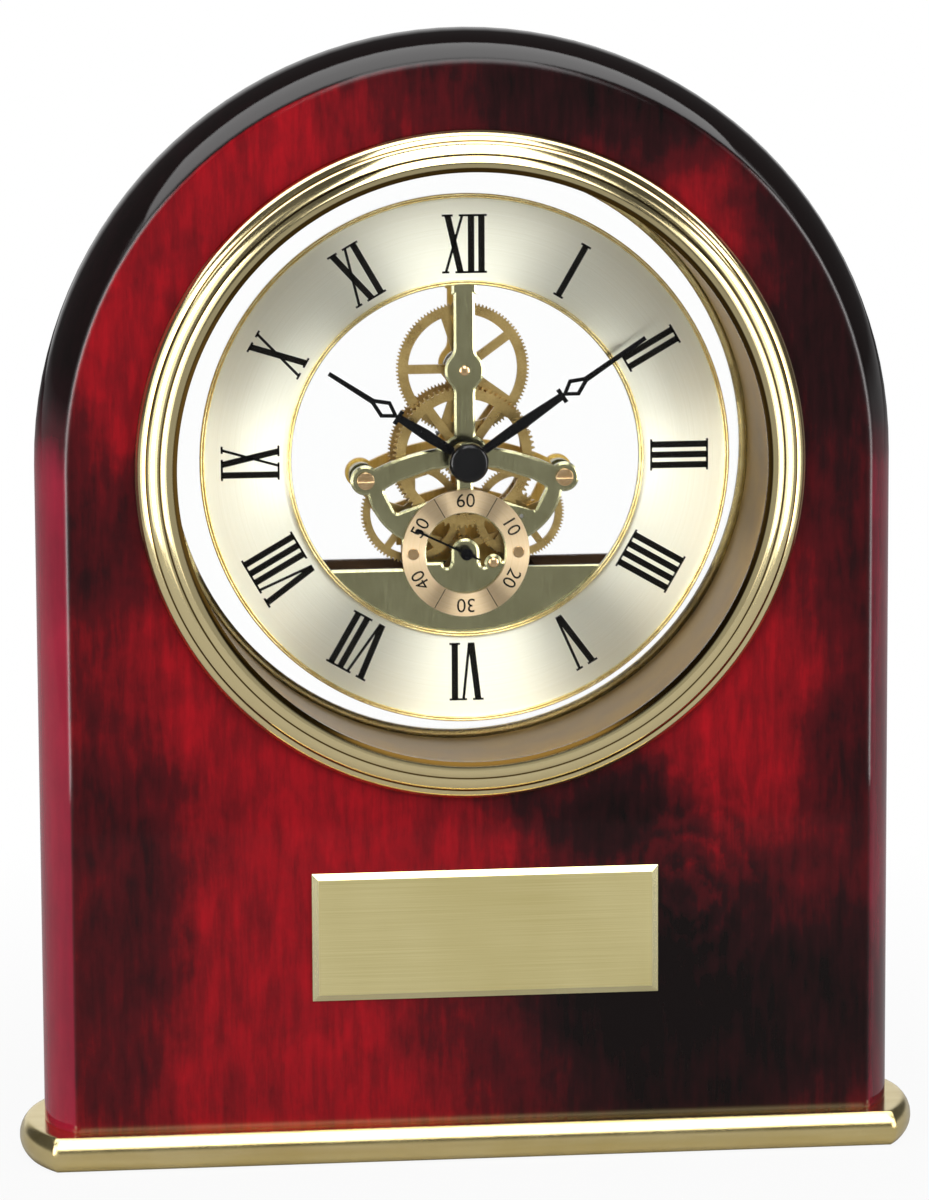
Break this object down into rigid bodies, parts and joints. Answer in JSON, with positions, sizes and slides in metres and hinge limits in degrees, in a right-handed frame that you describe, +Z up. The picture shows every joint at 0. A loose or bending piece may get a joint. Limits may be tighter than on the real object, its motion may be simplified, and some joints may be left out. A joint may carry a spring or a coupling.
{
  "type": "shelf clock",
  "caption": "Arched rosewood shelf clock on a brass base, with a ridged brass bezel and a see-through geared quartz movement with hour, minute and seconds hands.",
  "frame": {"origin": "on the resting surface under the middle of the base", "axes": "+Z up, the dial faces -Y, +X to the right seen from the front"},
  "size_m": [0.1892, 0.0394, 0.235],
  "materials": {
    "rosewood": "high gloss lacquer",
    "polished_brass": "polished",
    "satin_brass": "brushed",
    "wheel_brass": "machined",
    "rose_brass": "satin",
    "champagne_metal": "circular brushed",
    "felt": "matt",
    "clear_glass": "clear",
    "black_metal": "satin black",
    "shaft_steel": "ground",
    "housing_plastic": "gold lacquered",
    "black_plastic": "fine matt",
    "cell_jacket": "gloss",
    "copper_wire": "enamelled",
    "board_resin": "gloss"
  },
  "bodies": {
    "case": {"case_body": "rosewood", "base_plate": "polished_brass", "base_felt": "felt", "base_screws": "shaft_steel", "engraving_plate": "satin_brass", "bezel_ring": "polished_brass", "front_lens": "clear_glass", "rear_pane": "clear_glass", "rear_retaining_ring": "polished_brass", "chapter_ring": "champagne_metal", "outer_trim_ring": "polished_brass", "inner_trim_ring": "polished_brass", "front_plate": "satin_brass", "back_plate": "satin_brass", "plate_pillars": "polished_brass", "plate_screws": "rose_brass", "pane_screws": "rose_brass", "seconds_dial": "rose_brass", "seconds_dial_rivets": "rose_brass", "movement_housing": "housing_plastic", "battery": "cell_jacket", "battery_contacts": "shaft_steel", "motor_coil": "copper_wire", "stator": "shaft_steel", "stator_posts": "shaft_steel", "circuit_board": "board_resin"},
    "cover": {"battery_cover": "black_plastic"},
    "seconds": {"seconds_arbor": "shaft_steel", "seconds_wheel": "wheel_brass", "seconds_pinion": "wheel_brass", "seconds_hand": "black_metal"},
    "intermediate": {"intermediate_arbor": "shaft_steel", "intermediate_wheel": "wheel_brass", "intermediate_pinion": "wheel_brass"},
    "rotor": {"rotor_arbor": "shaft_steel", "rotor_pinion": "wheel_brass", "rotor_magnet": "shaft_steel"},
    "third": {"third_arbor": "shaft_steel", "third_wheel": "wheel_brass", "third_pinion": "wheel_brass"},
    "centre": {"centre_wheel": "wheel_brass"},
    "minute": {"centre_arbor": "shaft_steel", "clutch_spring": "shaft_steel", "cannon_pinion": "wheel_brass", "minute_hand": "black_metal", "hand_cap": "black_metal", "setting_knob": "black_plastic"},
    "motion_shaft": {"motion_arbor": "shaft_steel"},
    "motion": {"motion_wheel": "wheel_brass", "motion_pinion": "wheel_brass"},
    "hour_carrier": {"hour_bush": "wheel_brass"},
    "hour": {"hour_wheel": "wheel_brass", "hour_pipe": "wheel_brass", "hour_hand": "black_metal"}
  },
  "joints": [
    {"name": "seconds_turn", "type": "hinge", "parent": "case", "child": "seconds", "pos_m": [0, 0, 0.1259], "axis": [0, 1, 0], "continuous": true},
    {"name": "intermediate_turn", "type": "hinge", "parent": "case", "child": "intermediate", "pos_m": [0.0118, 0, 0.1333], "axis": [0, 1, 0], "continuous": true},
    {"name": "rotor_turn", "type": "hinge", "parent": "case", "child": "rotor", "pos_m": [0.0109, 0, 0.1231], "axis": [0, 1, 0], "continuous": true},
    {"name": "third_turn", "type": "hinge", "parent": "case", "child": "third", "pos_m": [-0.0106, 0, 0.1337], "axis": [0, 1, 0], "continuous": true},
    {"name": "centre_turn", "type": "hinge", "parent": "case", "child": "centre", "pos_m": [0, 0, 0.1457], "axis": [0, 1, 0], "continuous": true},
    {"name": "motion_shaft_turn", "type": "hinge", "parent": "case", "child": "motion_shaft", "pos_m": [0, 0, 0.164], "axis": [0, 1, 0], "continuous": true},
    {"name": "hour_carrier_turn", "type": "hinge", "parent": "case", "child": "hour_carrier", "pos_m": [0, 0, 0.1457], "axis": [0, 1, 0], "continuous": true},
    {"name": "hand_set", "type": "hinge", "parent": "centre", "child": "minute", "pos_m": [0, 0, 0.1457], "axis": [0, 1, 0], "continuous": true},
    {"name": "motion_set", "type": "hinge", "parent": "motion_shaft", "child": "motion", "pos_m": [0, 0, 0.164], "axis": [0, 1, 0], "continuous": true},
    {"name": "hour_set", "type": "hinge", "parent": "hour_carrier", "child": "hour", "pos_m": [0, 0, 0.1457], "axis": [0, 1, 0], "continuous": true},
    {"name": "cover_slide", "type": "slide", "parent": "case", "child": "cover", "axis": [0, 1, 0], "range_m": [0, 0.025]}
  ],
  "couplings": [
    {"joint": "intermediate_turn", "follows": "seconds_turn", "ratio": -2.5},
    {"joint": "rotor_turn", "follows": "seconds_turn", "ratio": 30},
    {"joint": "third_turn", "follows": "seconds_turn", "ratio": -0.25},
    {"joint": "centre_turn", "follows": "seconds_turn", "ratio": 0.016667},
    {"joint": "motion_shaft_turn", "follows": "seconds_turn", "ratio": -0.0055556},
    {"joint": "hour_carrier_turn", "follows": "seconds_turn", "ratio": 0.0013889},
    {"joint": "motion_set", "follows": "hand_set", "ratio": -0.33333},
    {"joint": "hour_set", "follows": "hand_set", "ratio": 0.083333}
  ]
}
